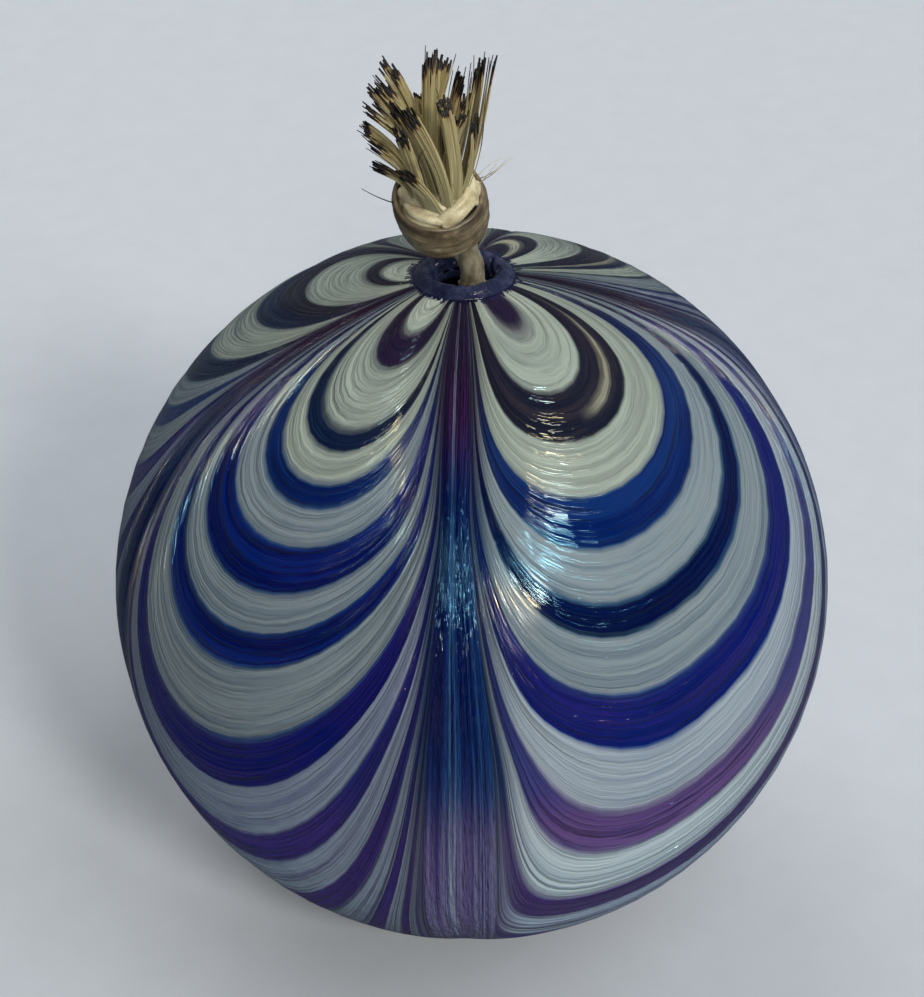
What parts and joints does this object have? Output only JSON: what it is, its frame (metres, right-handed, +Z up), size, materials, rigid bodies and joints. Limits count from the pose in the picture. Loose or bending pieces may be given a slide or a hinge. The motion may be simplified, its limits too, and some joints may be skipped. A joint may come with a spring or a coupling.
{
  "type": "glass ball ornament",
  "caption": "Hollow blown glass ball with a pulled-feather pattern and a flat foot, with a knotted cord with a frayed, singed end standing in the small hole at its top.",
  "frame": {"origin": "centre of the ground foot, on the plane that the ball rests on", "axes": "+Z up through the hole at the top, -Y towards the front of the pattern, +X to the right seen from the front"},
  "size_m": [0.084, 0.084, 0.1084],
  "materials": {
    "swirl_glass": "glossy opaque white and cobalt blue casing in hanging swags, slightly iridescent",
    "blue_glass": "glossy clear blue-violet glass",
    "cord": "matt cotton cord",
    "waxed_cord": "waxed, stained cotton cord with a dull sheen",
    "yarn": "silky frayed cotton yarn with singed black tips",
    "singed_fibre": "dark loose fibre"
  },
  "bodies": {
    "ball": {"glass_bubble": "blue_glass", "patterned_casing": "swirl_glass"},
    "cord": {"cord_tail": "cord"},
    "neck": {"cord_neck": "cord"},
    "knot": {"knot_core": "cord", "knot_wrap": "waxed_cord", "left_yarn_1": "yarn", "left_yarn_2": "yarn", "left_yarn_3": "yarn", "left_yarn_4": "yarn", "left_yarn_5": "yarn", "left_yarn_6": "yarn", "left_yarn_7": "yarn", "front_yarn_1": "yarn", "front_yarn_2": "yarn", "front_yarn_3": "yarn", "front_yarn_4": "yarn", "front_yarn_5": "yarn", "middle_yarn_1": "yarn", "middle_yarn_2": "yarn", "middle_yarn_3": "yarn", "middle_yarn_4": "yarn", "right_yarn_1": "yarn", "right_yarn_2": "yarn", "right_yarn_3": "yarn", "right_yarn_4": "yarn", "back_yarn_1": "yarn", "back_yarn_2": "yarn", "back_yarn_3": "yarn", "back_yarn_4": "yarn", "loose_fibres": "singed_fibre"}
  },
  "joints": [
    {"name": "cord_slide", "type": "slide", "parent": "ball", "child": "cord", "axis": [0, 0, 1], "range_m": [-0.0014, 0.06]},
    {"name": "cord_turn", "type": "hinge", "parent": "cord", "child": "neck", "pos_m": [0.00087, -0.00151, 0.08463], "axis": [0, 0, 1], "continuous": true},
    {"name": "knot_lean", "type": "hinge", "parent": "neck", "child": "knot", "pos_m": [0.00087, -0.00151, 0.08463], "axis": [0, -1, 0], "range_deg": [-20, 10]}
  ]
}
